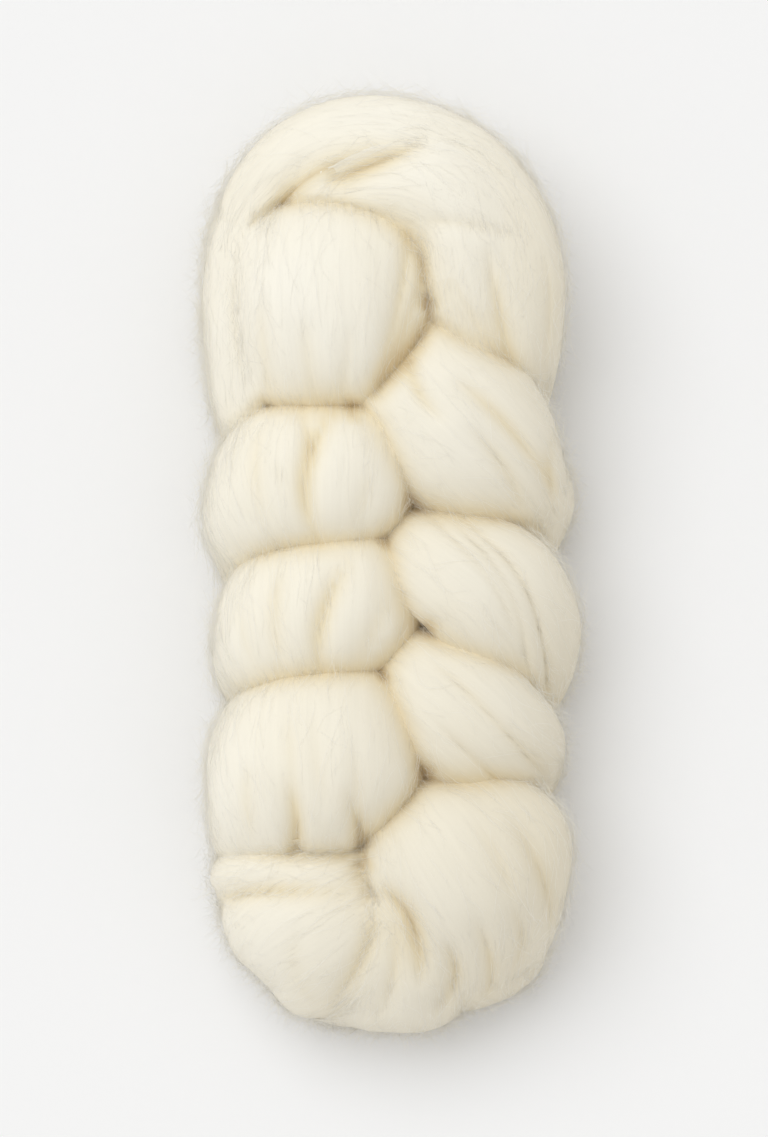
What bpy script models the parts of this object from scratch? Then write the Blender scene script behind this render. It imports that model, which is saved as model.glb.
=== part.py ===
"""A chain-braided length of undyed wool roving, lying flat: one closed solid of its wound form.

The length of combed wool is chained on itself: a starting loop at the +Y end, four stitches whose
left and right legs spread towards -Y, and an end loop at the -Y end.  Each bundle of wool that
shows is a sweep of one oval cross-section along the bundle's own path.  The bundles are drawn
together into one body, and the body is pressed flat where it rests on the ground at z = 0.

Frame: +X across, +Y along the braid towards the starting loop, +Z up, away from the ground.
The tables are in millimetres and degrees; the model is in metres.
"""

from collections import namedtuple

import bmesh
import bpy
import numpy as np

MM = 0.001

WOOL_COLOUR = (0.88, 0.83, 0.71, 1.0)
WOOL_ROUGHNESS = 0.95

RINGS = 44                    # cross-sections along each bundle
SIDES = 40                    # points round each cross-section
VOXEL = 2.2 * MM              # grain at which the bundles are drawn together
SMOOTH_FACTOR, SMOOTH_TURNS = 0.5, 3
KEPT_SHARE = 0.105            # share of the drawn-together surface's triangles that is kept
GROUND_BLOCK = 1.0            # side of the block that presses the underside flat
FACE_STEP = 0.02              # step across a bundle over which its slope is measured

# One bundle: curl is how far each edge turns down, in degrees, lean is how far the right edge is
# drawn along the bundle at its first and last section, and squareness is the oval's exponent.
Bundle = namedtuple("Bundle", "curl_left curl_right lean_start lean_end squareness tilt sections")

# One section's columns: the middle of the bundle, x, y and z; the half widths to its left and
# right as seen when looking along it; its thickness; and the direction of its right edge, in
# degrees from +X towards +Y.

START_LOOP = {
    "outer_turn": Bundle(60, 40, 0, 0, 2.2, 0, [
        (-43, 104, 20, 8, 8, 22, -30),
        (-45, 116, 30, 10, 10, 34, -38),
        (-42, 127, 35, 12, 12, 43, -50),
        (-32, 137, 38, 14, 14, 50, -68),
        (-17, 144, 41, 15, 15, 55, -86),
        (4, 143, 43, 17, 19, 57, -102),
        (20, 134, 44, 20, 22, 57, -128),
        (31, 118, 46, 22, 24, 56, -158),
        (36, 100, 46, 22, 24, 54, -174),
        (40, 85, 42, 18, 19, 46, -172),
        (43, 74, 33, 14, 14, 38, -168),
        (42, 60, 20, 12, 12, 30, -165),
        (32, 48, 12, 10, 10, 20, -165)]),
    "inner_turn": Bundle(40, 40, 0, 0, 2.2, 0, [
        (-36, 124, 32, 5, 6, 20, -75),
        (-21, 132, 45, 8, 7, 28, -82),
        (-5, 137, 53, 13, 11, 34, -95),
        (10, 136, 56, 17, 15, 38, -115),
        (23, 127, 56, 19, 14, 40, -145),
        (29, 109, 55, 19, 13, 39, -170),
        (31, 93, 50, 17, 12, 36, -172),
        (35, 79, 38, 13, 13, 30, -165),
        (36, 68, 24, 10, 10, 22, -165)]),
    "lower_turn": Bundle(30, 30, 0, 0, 2.3, 0, [
        (-38, 92, 20, 12, 12, 26, 0),
        (-43, 108, 20, 15, 15, 34, -10),
        (-40, 124, 20, 16, 16, 38, -35),
        (-24, 134, 20, 17, 17, 40, -68),
        (0, 138, 20, 18, 18, 40, -92),
        (22, 128, 20, 18, 18, 40, -128),
        (35, 108, 20, 18, 18, 40, -162),
        (39, 86, 20, 16, 16, 38, -176),
        (38, 68, 20, 13, 13, 30, -180)]),
    "left_edge": Bundle(40, 40, 0, 0, 2.2, -64, [
        (-38, 140, 28, 13, 14, 20, 180),
        (-47, 127, 34, 19, 18, 28, 180),
        (-50, 105, 39, 22, 22, 31, 180),
        (-50, 82, 37, 22, 22, 31, 180),
        (-49, 60, 31, 20, 19, 29, 180),
        (-44, 40, 22, 15, 14, 24, 180),
        (-32, 26, 13, 10, 10, 18, 180)]),
}

LEFT_LEGS = {
    "left_leg_1": Bundle(55, 55, 0, 0, 2.8, 0, [
        (-20, 130, 24, 33, 28, 24, 188),
        (-20, 125, 43, 37, 31, 32, 188),
        (-19, 114, 57, 38, 31, 38, 186),
        (-20, 99, 62, 38, 31, 40, 183),
        (-19, 82, 58, 34, 30, 40, 183),
        (-17, 69, 46, 30, 28, 38, 188),
        (-14, 59, 31, 24, 23, 32, 192),
        (-13, 50, 17, 16, 16, 22, 192)]),
    "left_leg_1_fold": Bundle(40, 40, 0, 0, 2.2, 0, [
        (4, 128, 40, 5, 5, 16, 180),
        (9, 117, 50, 6, 6, 22, 180),
        (11, 100, 52, 7, 7, 26, 182),
        (7, 84, 48, 7, 7, 26, 190),
        (1, 72, 38, 6, 6, 24, 195),
        (-4, 66, 24, 5, 5, 20, 200)]),
    "left_leg_2": Bundle(120, 80, 12, 34, 2.2, 0, [
        (-18, 57, 24, 30, 36, 24, 182),
        (-20, 50, 42, 40, 44, 32, 182),
        (-22, 41, 55, 48, 50, 36, 182),
        (-23, 31, 57, 48, 51, 37, 182),
        (-23, 20, 47, 46, 49, 37, 182),
        (-22, 11, 31, 40, 43, 34, 182),
        (-15, -1, 20, 26, 32, 26, 182),
        (-4, -10, 18, 12, 20, 18, 182)]),
    "left_leg_3": Bundle(120, 80, 12, 34, 2.2, 0, [
        (-17, 9, 24, 30, 36, 24, 184),
        (-19, 3, 43, 42, 44, 32, 184),
        (-20, -7, 55, 51, 50, 36, 184),
        (-21, -18, 56, 53, 51, 37, 184),
        (-21, -28, 46, 50, 49, 37, 184),
        (-20, -37, 31, 43, 43, 34, 184),
        (-14, -49, 20, 28, 32, 26, 184),
        (-4, -58, 18, 12, 20, 18, 184)]),
    "left_leg_4": Bundle(120, 80, 10, 28, 2.2, 0, [
        (-17, -38, 24, 28, 36, 24, 182),
        (-19, -46, 44, 38, 44, 32, 182),
        (-21, -58, 58, 48, 50, 38, 182),
        (-21, -72, 61, 49, 50, 40, 180),
        (-23, -85, 52, 44, 48, 40, 178),
        (-24, -94, 36, 36, 43, 36, 178),
        (-16, -103, 21, 26, 34, 26, 178),
        (-6, -110, 18, 12, 20, 18, 178)]),
}

RIGHT_LEGS = {
    "right_leg_1": Bundle(45, 45, 0, 0, 2.3, 0, [
        (-1, 80, 36, 26, 22, 24, 238),
        (6, 75, 50, 30, 28, 30, 236),
        (17, 64, 55, 29, 33, 34, 233),
        (29, 52, 56, 28, 35, 36, 229),
        (40, 40, 49, 24, 34, 36, 232),
        (47, 28, 36, 20, 31, 34, 234),
        (50, 14, 22, 22, 26, 28, 238),
        (42, 4, 12, 15, 18, 20, 246)]),
    "right_leg_2": Bundle(45, 45, 0, 0, 2.3, 0, [
        (0, 12, 26, 16, 14, 24, 236),
        (7, 7, 42, 23, 15, 28, 234),
        (19, -2, 54, 26, 14, 33, 230),
        (32, -13, 55, 31, 15, 35, 223),
        (41, -25, 47, 30, 19, 35, 219),
        (47, -38, 33, 26, 22, 33, 224),
        (46, -52, 20, 22, 21, 28, 234),
        (36, -62, 12, 15, 15, 20, 240)]),
    "right_leg_3": Bundle(45, 45, 0, 0, 2.3, 0, [
        (4, -30, 28, 8, 13, 24, 232),
        (9, -35, 44, 13, 19, 28, 232),
        (21, -45, 54, 22, 26, 33, 230),
        (33, -55, 54, 22, 29, 34, 226),
        (42, -64, 46, 22, 28, 33, 228),
        (46, -72, 33, 22, 26, 31, 236),
        (44, -84, 20, 19, 21, 27, 242),
        (34, -94, 12, 14, 15, 20, 242)]),
}

END_LOOP = {
    "right_turn": Bundle(50, 50, 0, 0, 2.3, 0, [
        (3, -86, 26, 14, 12, 24, 222),
        (10, -92, 44, 28, 21, 31, 215),
        (19, -101, 56, 41, 28, 38, 208),
        (27, -113, 56, 44, 31, 40, 211),
        (32, -125, 46, 34, 30, 40, 205),
        (33, -138, 32, 27, 28, 38, 199),
        (33, -146, 18, 22, 26, 30, 196),
        (27, -141, 11, 14, 16, 18, 196)]),
    "middle_turn": Bundle(45, 45, 0, 0, 2.3, 0, [
        (-2, -106, 28, 8, 10, 22, 186),
        (-2, -116, 42, 14, 15, 28, 184),
        (1, -130, 46, 21, 22, 34, 182),
        (4, -144, 38, 27, 31, 36, 182),
        (3, -153, 26, 31, 35, 34, 182),
        (3, -155, 15, 28, 31, 26, 182),
        (3, -146, 8, 18, 20, 16, 182)]),
    "left_turn": Bundle(50, 50, 0, 0, 2.3, 0, [
        (0, -110, 26, 10, 12, 24, 110),
        (-10, -117, 42, 20, 22, 31, 116),
        (-21, -124, 48, 30, 31, 37, 121),
        (-31, -131, 43, 33, 32, 38, 124),
        (-37, -136, 29, 32, 30, 35, 126),
        (-37, -138, 16, 26, 24, 28, 126),
        (-28, -130, 8, 16, 16, 18, 126)]),
    "upper_turn": Bundle(40, 40, 0, 0, 2.2, 0, [
        (2, -108, 34, 8, 8, 22, 92),
        (-14, -111, 44, 10, 10, 27, 92),
        (-34, -113, 44, 13, 13, 30, 92),
        (-47, -114, 35, 14, 14, 30, 92),
        (-49, -116, 20, 13, 13, 26, 92),
        (-38, -114, 10, 10, 10, 16, 92)]),
}

CORE = {
    "core": Bundle(20, 20, 0, 0, 2.3, 0, [
        (0, 140, 26, 22, 22, 34, 180),
        (0, 120, 26, 34, 34, 44, 180),
        (0, 60, 26, 38, 38, 46, 180),
        (0, -60, 26, 38, 38, 46, 180),
        (0, -120, 26, 34, 34, 44, 180),
        (0, -140, 24, 26, 26, 38, 180)]),
}

# The head of each stitch passes behind the next stitch's legs, from the left side to the right.
Head = namedtuple("Head", "left_y right_y half_wide thick")
HEADS = [
    Head(112, 100, 26, 30),
    Head(60, 42, 26, 30),
    Head(6, -22, 26, 30),
    Head(-44, -62, 26, 30),
    Head(-98, -106, 28, 30),
]
HEAD_SAG = 16                 # how much nearer the end loop a head's middle lies than its ends


def head_bundle(head):
    """The bundle of one stitch's head: a shallow U under the braid, its ends turned up at the sides."""
    middle = (head.left_y + head.right_y) / 2 - HEAD_SAG
    wide, thick = head.half_wide, head.thick
    return Bundle(20, 20, 0, 0, 2.3, 0, [
        (-34, head.left_y + 6, 36, wide - 10, wide - 10, thick - 8, -90),
        (-42, head.left_y, 27, wide - 5, wide - 5, thick - 4, -88),
        (-34, head.left_y - 8, 17, wide, wide, thick, -86),
        (-10, middle, 13, wide, wide, thick, -90),
        (12, middle, 13, wide, wide, thick, -90),
        (36, head.right_y - 12, 16, wide, wide, thick, -96),
        (47, head.right_y - 6, 24, wide - 3, wide - 3, thick - 4, -94),
        (41, head.right_y + 2, 34, wide - 8, wide - 8, thick - 8, -90)])


def smooth_rows(rows, count):
    """Rows at even distances along the path, on cubic curves through the given rows."""
    table = np.array(rows, float)
    steps = np.linalg.norm(np.diff(table[:, :3], axis=0), axis=1)
    knots = np.concatenate([[0.0], np.cumsum(steps)])
    slopes = np.gradient(table, knots, axis=0)
    along = np.linspace(0.0, knots[-1], count)
    k = np.clip(np.searchsorted(knots, along, side="right") - 1, 0, len(knots) - 2)
    span = (knots[k + 1] - knots[k])[:, None]
    s = (along - knots[k])[:, None] / span
    return ((2 * s**3 - 3 * s**2 + 1) * table[k] + (s**3 - 2 * s**2 + s) * span * slopes[k]
            + (3 * s**2 - 2 * s**3) * table[k + 1] + (s**3 - s**2) * span * slopes[k + 1]), along


def oval(sides, squareness):
    """Points round a superellipse of half axes 1 and 1: across (1 is the right edge) and up."""
    turn = np.linspace(0.0, 2 * np.pi, sides, endpoint=False)
    cosine, sine = np.cos(turn), np.sin(turn)
    power = 2 / squareness
    return np.sign(cosine) * np.abs(cosine)**power, np.sign(sine) * np.abs(sine)**power


def bundle_grid(bundle):
    """Points of one bundle as rings by sides.

    A middle surface runs along the path and curls down in an arc at each edge, and the oval's
    thickness stands off it along its normal.
    """
    rows, along = smooth_rows(bundle.sections, RINGS)
    middle = rows[:, :3]
    left, right, thick = rows[:, 3:4], rows[:, 4:5], rows[:, 5:6]
    turn, tilt = np.radians(rows[:, 6]), np.radians(bundle.tilt)
    to_right = np.stack([np.cos(turn) * np.cos(tilt), np.sin(turn) * np.cos(tilt),
                         np.full(RINGS, np.sin(tilt))], axis=1)
    ahead = np.stack([-np.sin(turn), np.cos(turn), np.zeros(RINGS)], axis=1)
    outward = np.cross(to_right, ahead)
    lean = np.linspace(bundle.lean_start, bundle.lean_end, RINGS)[:, None]

    def middle_surface(place):
        on_right = place > 0
        curl = np.radians(np.where(on_right, bundle.curl_right, bundle.curl_left))
        arc = np.where(on_right, right, left) / curl
        angle = curl * np.abs(place)
        out = np.sign(place) * arc * np.sin(angle)
        down = arc * (1 - np.cos(angle))
        drawn = np.where(on_right, 1 - np.cos(angle), 0) * lean
        return (middle[:, None] + out[..., None] * to_right[:, None]
                - down[..., None] * outward[:, None] + drawn[..., None] * ahead[:, None])

    place, height = oval(SIDES, bundle.squareness)
    place = place[None]
    surface = middle_surface(place)
    across = (middle_surface(np.minimum(place + FACE_STEP, 1))
              - middle_surface(np.maximum(place - FACE_STEP, -1)))
    forward = np.gradient(surface, along, axis=0)
    normal = np.cross(across, forward)
    normal /= np.linalg.norm(normal, axis=2, keepdims=True)
    return surface + (height[None] * thick / 2)[..., None] * normal


def add_bundle(mesh, bundle):
    """Adds one bundle to a bmesh: quads between its rings, and one face closing each end."""
    grid = bundle_grid(bundle) * MM
    rings = [[mesh.verts.new(point) for point in ring] for ring in grid.tolist()]
    for low, high in zip(rings, rings[1:]):
        for side in range(SIDES):
            after = (side + 1) % SIDES
            mesh.faces.new((low[side], low[after], high[after], high[side]))
    mesh.faces.new(rings[0][::-1])
    mesh.faces.new(rings[-1])


def wool_material():
    """Undyed cream wool, matt."""
    material = bpy.data.materials.new("undyed_wool")
    material.use_nodes = True
    shader = material.node_tree.nodes["Principled BSDF"]
    shader.inputs["Base Color"].default_value = WOOL_COLOUR
    shader.inputs["Roughness"].default_value = WOOL_ROUGHNESS
    shader.inputs["Metallic"].default_value = 0.0
    return material


def new_collection(name):
    """An empty collection in the scene."""
    collection = bpy.data.collections.new(name)
    bpy.context.scene.collection.children.link(collection)
    return collection


def ground_cutter(collection):
    """A block whose top is the ground, z = 0, to press the underside flat."""
    bpy.ops.mesh.primitive_cube_add(size=GROUND_BLOCK, location=(0, 0, -GROUND_BLOCK / 2))
    block = bpy.context.object
    block.name = "ground"
    block.hide_render = True
    block.display_type = "WIRE"
    for holder in list(block.users_collection):
        holder.objects.unlink(block)
    collection.objects.link(block)
    return block


def roving_braid(collection, ground):
    """All bundles drawn together into one body and pressed flat on the ground."""
    bundles = [*START_LOOP.values(), *LEFT_LEGS.values(), *RIGHT_LEGS.values(), *END_LOOP.values(),
               *CORE.values(), *(head_bundle(head) for head in HEADS)]
    mesh = bmesh.new()
    for bundle in bundles:
        add_bundle(mesh, bundle)
    bmesh.ops.recalc_face_normals(mesh, faces=mesh.faces)
    data = bpy.data.meshes.new("roving_braid")
    mesh.to_mesh(data)
    mesh.free()
    data.materials.append(wool_material())
    braid = bpy.data.objects.new("roving_braid", data)
    collection.objects.link(braid)

    draw_together = braid.modifiers.new("draw_together", "REMESH")
    draw_together.mode = "VOXEL"
    draw_together.voxel_size = VOXEL
    soften = braid.modifiers.new("soften", "SMOOTH")
    soften.factor = SMOOTH_FACTOR
    soften.iterations = SMOOTH_TURNS
    thin_out = braid.modifiers.new("thin_out", "DECIMATE")
    thin_out.ratio = KEPT_SHARE
    press_flat = braid.modifiers.new("press_flat", "BOOLEAN")
    press_flat.operation = "DIFFERENCE"
    press_flat.object = ground
    return braid


def main():
    for thing in list(bpy.data.objects):
        bpy.data.objects.remove(thing, do_unlink=True)
    ground = ground_cutter(new_collection("cutters"))
    roving_braid(new_collection("wool_roving"), ground)


main()
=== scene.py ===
"""An undyed wool roving, chained on itself into a braid: its surface, loose fibres and light.

The frame's one solid holds the braid's place and size.  Each bundle of wool is worked out again
here as its own closed surface, with its folds and strands, and fibres are laid along them.
The tables are in millimetres and degrees, and are scaled to the frame's box.
"""
from collections import namedtuple

import bpy
import numpy as np
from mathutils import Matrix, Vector


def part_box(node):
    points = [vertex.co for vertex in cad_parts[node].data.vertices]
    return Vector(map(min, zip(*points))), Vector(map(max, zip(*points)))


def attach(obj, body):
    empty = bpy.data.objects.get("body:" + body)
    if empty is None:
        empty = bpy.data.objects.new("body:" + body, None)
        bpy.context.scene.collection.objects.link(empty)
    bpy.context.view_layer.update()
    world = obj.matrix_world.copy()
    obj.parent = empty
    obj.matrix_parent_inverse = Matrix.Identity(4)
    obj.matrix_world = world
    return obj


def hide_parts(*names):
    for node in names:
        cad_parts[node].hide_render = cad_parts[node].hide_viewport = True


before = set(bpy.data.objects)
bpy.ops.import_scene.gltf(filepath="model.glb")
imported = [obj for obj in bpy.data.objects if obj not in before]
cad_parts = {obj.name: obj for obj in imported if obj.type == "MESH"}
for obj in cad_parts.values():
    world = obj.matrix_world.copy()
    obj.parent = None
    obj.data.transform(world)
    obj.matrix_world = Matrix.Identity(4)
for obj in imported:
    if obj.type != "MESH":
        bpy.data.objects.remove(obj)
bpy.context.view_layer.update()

TABLE_LENGTH = 339.2                      # the length of the braid in the tables, mm
LOW, HIGH = (np.array(corner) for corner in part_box("roving_braid"))
MM = (HIGH[1] - LOW[1]) / TABLE_LENGTH    # one table millimetre, in metres
CM = 10                                   # one centimetre, in table millimetres

# ---- how finely the surfaces are drawn ----

RINGS_PER_MM = 0.5            # cross-sections along a bundle that shows
SIDES = 150                   # points round a bundle that shows
HIDDEN_RINGS_PER_MM = 0.3     # and the same for the bundles under the braid
HIDDEN_SIDES = 90
OVAL_STEPS = 4001             # steps in which an oval's outline is measured
OVAL_FLATNESS = 2.1           # how many times wider than thick a usual bundle is
UPPER_FACE = -0.2             # the height over which an oval's points stand close together
UNDERSIDE_SHARE = 0.35        # how crowded the points are on the rest of it
FACE_STEP = 0.02              # step across a bundle over which its slope is measured
UV_MARGIN = 0.01              # share of the UV square kept for each end's fan
FAN_GRAIN = 1.0               # how far the grain runs on over each end's fan, cm
LAST_ROW = 1.001              # rows held back from a grid's end, so that each place has a next row
TINY = 1e-9

# ---- strands and folds on a bundle's surface ----

# Strands: their height in mm, how many lie round the bundle, their length in mm, and their seed.
Strands = namedtuple("Strands", "height count length seed")
BROAD = Strands(1.6, 9, 50, 0)
CREASED = Strands(0.3, 13, 50, 1)
MEDIUM = Strands(0.07, 38, 30, 2)
FINE = Strands(0.015, 84, 20, 3)
LOOSE = Strands(0.6, 20, 36, 6)
WANDER = Strands(0.012, 5, 42, 4)        # its height is a share of the way round
PATCH = Strands(0.5, 7, 38, 5)           # and here a share of the finer strands' height
CREASE_STEEPNESS = 2.4        # how quickly a creased strand rises from its valley
SPARE_HEIGHTS = 4             # random heights past the end of a bundle
SEED_STEP = 10                # between the random seeds of two bundles
HIDDEN_SEED = 500             # the first seed of the bundles under the braid
FOLD_FADE = 4                 # a fold's ends fade over the fourth part of its length

# A fold between two strands: where it starts and ends along the bundle, as shares of its length,
# where it lies across it, from -1 at the left edge to 1 at the right, its depth, and how far
# the wool rounds down to it on each side, mm.
Fold = namedtuple("Fold", "start end across_start across_end depth reach")
FOLDS = {
    "outer_turn": [
        Fold(0.12, 0.42, 0.10, -0.08, 6.0, 8.0),
        Fold(0.58, 0.82, 0.02, -0.08, 1.5, 7.0)],
    "left_leg_4": [
        Fold(0.30, 0.72, 0.18, 0.16, 2.4, 8.0),
        Fold(0.38, 0.72, -0.08, -0.30, 2.2, 7.0)],
    "right_leg_2": [
        Fold(0.18, 0.54, -0.50, -0.05, 1.6, 5.0),
        Fold(0.24, 0.66, -0.58, 0.05, 2.0, 6.0),
        Fold(0.24, 0.80, -0.66, -0.04, 2.8, 6.0)],
    "right_leg_3": [
        Fold(0.24, 0.68, -0.20, -0.05, 2.4, 6.0),
        Fold(0.32, 0.76, 0.25, 0.35, 2.0, 6.0)],
}

# ---- loose fibres ----

FIBRE_GROUND = 0.1            # the lowest that a fibre lies, mm
FIBRE_EDGES = (30, 150, 270)  # where a fibre's three edges stand round it, degrees
FIBRE_SEED = 900
RISE_LIMIT = 2.0              # the highest rise, in spreads
LEAST_WIDTH = 0.3             # the narrowest step round a bundle that a drift is measured in, mm
# Fibres of one kind: how many, the points along one, their radius, and in mm the lengths, the
# spread of the drift aside and of the bow, the lift off the wool, the spread of the rise at the
# far end, and how thickly they lie on the top of the wool, 1 being as thickly as on its rims.
Style = namedtuple("Style", "count knots radius shortest longest drift bow low high rise on_top")
STYLES = {
    "laid_fibres": Style(6500, 5, 0.030, 12, 40, 1.5, 1.0, -0.03, 0.06, 0.1, 1.0),
    "fuzz_1": Style(11000, 4, 0.045, 3, 9, 2.0, 1.2, 0.0, 1.4, 3.4, 0.03),
    "fuzz_2": Style(12000, 4, 0.045, 3, 11, 3.0, 2.0, 0.0, 2.2, 4.6, 0.03),
    "fuzz_3": Style(6000, 4, 0.045, 2, 5, 2.0, 1.0, 0.0, 0.8, 1.8, 0.0),
    "flyaway_fibres": Style(2600, 5, 0.045, 8, 24, 6.0, 4.0, 0.0, 1.2, 3.4, 0.3)}
RIM_START, RIM_RANGE = 0.55, 0.4         # where a rim starts, by the normal's Z

# ---- seams, creases and hollows, in table mm ----

MAP_CELL = 1                  # the side of a square on the map of the braid
MAP_MARGIN = 12               # empty ground round the braid on the map
FINER_RINGS, FINER_SIDES = 4, 5          # how much finer a bundle is drawn on the map
FAR = 10**8                   # the square of a distance that is never reached, in squares

# Bundles that run together: no seam between them, but one skin, the smoothed height of the braid.
JOINS = [("outer_turn", "inner_turn"), ("outer_turn", "lower_turn"), ("outer_turn", "left_edge"),
         ("lower_turn", "inner_turn"), ("left_edge", "lower_turn"), ("left_leg_1", "left_leg_1_fold"),
         ("left_leg_1", "left_edge"), ("left_turn", "upper_turn"), ("left_turn", "middle_turn"),
         ("middle_turn", "right_turn")]
SKIN_BLUR = 5.0               # how far the shared skin is smoothed
JOIN_REACH = 20.0             # how far it reaches from where the bundles meet
JOIN_CLEAR = 5.0              # how far it keeps clear of other seams
COVERED_SHARE = 0.10          # how much lower the covered bundle lies, as a share of its depth
SKIN_FACING = 2.5             # how quickly a side that turns down leaves the skin

# How much the other bundles round down where they meet, 1 unless named here.
PAIR_WEIGHTS = {
    ("left_edge", "left_leg_2"): 0.6,
    ("left_leg_1", "left_leg_2"): 1.5,
    ("right_leg_1", "right_leg_2"): 1.5,
    ("left_leg_4", "upper_turn"): 0.5,
    ("upper_turn", "middle_turn"): 0.2}
# The bundles from the lowest to the uppermost where they meet.  The upper one keeps a short edge
# and the lower one dives under it.
STACKING = ["outer_turn", "lower_turn", "inner_turn", "left_edge", "left_leg_1_fold", "left_leg_1",
            "left_leg_2", "left_leg_3", "left_leg_4", "left_turn", "upper_turn", "middle_turn",
            "right_leg_1", "right_leg_2", "right_leg_3", "right_turn"]
SEAM_STEP = 8                 # a step this high at a seam starts to hide it
# How wool rounds down to a seam: how deep, how far, and how far and how strongly painted shade darkens
# it there.
Edge = namedtuple("Edge", "depth reach tint_reach tint")
UPPER_EDGE = Edge(4.0, 9.0, 2.0, 0.08)
DIVING_EDGE = Edge(4.2, 17.0, 6.0, 0.08)
SEAM_BLUR = 0.8               # how far the seams are smoothed

# The creases, seen from above: a curve through three places, the depth of each and how far the
# wool falls away to it.
Crease = namedtuple("Crease", "x_start y_start x_middle y_middle x_end y_end depth reach")
CREASES = [
    # the second left leg
    Crease(-16, 59, -29, 33, -23, 7, 5.0, 10.0),
    Crease(-30, 59, -29, 50, -26, 38, 2.2, 6.0),
    Crease(-45, 52, -47, 35, -44, 14, 2.2, 9.0),
    Crease(-5, 35, -7, 25, -12, 13, 1.6, 7.0),
    # the third left leg
    Crease(-11, 4, -23, -18, -23, -39, 4.6, 10.0),
    Crease(-36, 1, -40, -15, -37, -38, 2.6, 9.0),
    Crease(1, -10, -4, -23, -12, -35, 2.2, 8.0),
    Crease(-53, -12, -51, -26, -45, -41, 1.6, 8.0),
    # the first right leg
    Crease(24, 68, 44, 50, 63, 25, 3.6, 9.0),
    Crease(9, 76, 11, 64, 21, 52, 3.0, 7.0),
    Crease(29, 51, 43, 35, 49, 20, 2.6, 8.0),
    Crease(62, 52, 59, 35, 62, 17, 2.4, 7.0),
    # the top of the starting loop
    Crease(-22, 138, -6, 144, 17, 154, 5.0, 11.0),
    Crease(14, 123, 27, 123, 46, 119, 1.8, 7.0),
    # the first left leg
    Crease(-54, 108, -55, 90, -51, 64, 2.0, 8.0),
    Crease(-45, 97, -44, 79, -41, 60, 2.0, 9.0),
    Crease(-29, 90, -28, 74, -25, 59, 2.0, 10.0),
    Crease(-13, 86, -14, 72, -17, 59, 1.6, 8.0),
    # and its fold
    Crease(7, 125, 6, 101, -4, 65, 3.0, 8.0),
    Crease(12, 121, 11, 97, -7, 60, 2.2, 6.0),
    Crease(17, 92, 8, 77, -6, 60, 5.0, 8.0),
    # the right side of the starting loop
    Crease(36, 116, 41, 90, 47, 69, 2.8, 10.0),
    Crease(24, 103, 33, 86, 44, 70, 1.4, 9.0),
    Crease(56, 114, 59, 94, 56, 68, 2.0, 8.0),
    # the fourth left leg
    Crease(-36, -76, -32, -92, -35, -105, 3.6, 8.0),
    Crease(-15, -79, -9, -96, -7, -103, 3.6, 8.0),
    Crease(-49, -70, -50, -85, -47, -101, 2.2, 9.0),
    Crease(-25, -50, -25, -70, -20, -88, 1.6, 9.0),
    # the left and middle turns
    Crease(-65, -125, -45, -117, -11, -118, 4.0, 9.0),
    Crease(-4, -115, 9, -127, 12, -152, 5.0, 10.0),
    Crease(-5, -121, -8, -139, -23, -162, 3.4, 10.0),
    Crease(-31, -130, -33, -145, -23, -161, 1.6, 10.0),
    Crease(2, -126, 3, -145, -4, -166, 2.4, 9.0),
    # the right turn
    Crease(20, -134, 25, -148, 17, -162, 3.4, 8.0),
    Crease(32, -126, 38, -145, 35, -158, 3.4, 8.0),
    Crease(44, -121, 49, -135, 44, -150, 2.6, 8.0),
    Crease(45, -90, 57, -114, 59, -134, 3.2, 9.0),
    Crease(31, -90, 41, -106, 46, -121, 2.0, 9.0)]
CREASE_STEPS = 10             # straight steps in which a crease is drawn
CREASE_FADE = 0.6             # below 1, a crease stays deep until close to its ends

# The pits between the stitches, where legs meet: place, depth and radius.
Pit = namedtuple("Pit", "x y depth radius")
PITS = [
    Pit(15, 95, 3.5, 3.5),
    Pit(-12, 57, 4, 3.0),
    Pit(9, 23, 5, 3.5),
    Pit(-1, 9, 2, 2.5),
    Pit(15, -22, 3.5, 3.5),
    Pit(-1, -39, 2, 2.5),
    Pit(14, -74, 4.5, 3.5),
    Pit(-7, -106, 3, 2.5)]
PIT_SHADE_REACH = 0.7                # how far the painted shade reaches round a pit, in radii
UNDER_TOP = 12                # points this far under the top are lowered with it

# The painted shade, from 0 to 1: darker and warmer in hollows, seams, pits and folds and on steep sides.
# Its shares are added up.
HOLLOW_REACH = 9              # over what distance the braid's height is averaged
PAINTED_SHADE_DEPTH = 24             # wool this far under that average takes the full painted shade
DEEP_FOLD = 5.0               # and so does a fold this deep
FOLD_SHARE = 0.8              # how much of the painted shade a fold takes
FOLD_SHADE_POWER = 1.7         # above 1, the painted shade keeps close to the fold's line
STEEP_START, STEEP_RANGE = 0.95, 1.1     # where a side is steep, by the normal's Z
STEEP_SHADE_SHARE = 0.15            # how much painted shade a steep side takes
FACING_START, FACING_SLOPE = 0.6, 2      # how far a face looks up: at Z 0, and its rise with Z
HIDDEN_SHADE_SHARE = 0.35            # how much of the painted shade the bundles under the braid take

# The outside of the braid, on which the fibres lie: what is nearest in one of these views.
OUTSIDE_VIEWS = [(0, 0, 1), (1, 0, 0), (-1, 0, 0), (0, 1, 0), (0, -1, 0), (1, 0, 1), (-1, 0, 1),
                 (0, 1, 1), (0, -1, 1)]
OUTSIDE_CELL = 3              # the side of a square in which the nearest point is picked
OUTSIDE_SLACK = 3             # how far behind it a point still counts
OUTSIDE_FACING = 0.2          # how far a face has to look that way
END_ON = 0.9                  # a view is along Y over this share

# ---- colours and studio ----

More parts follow.
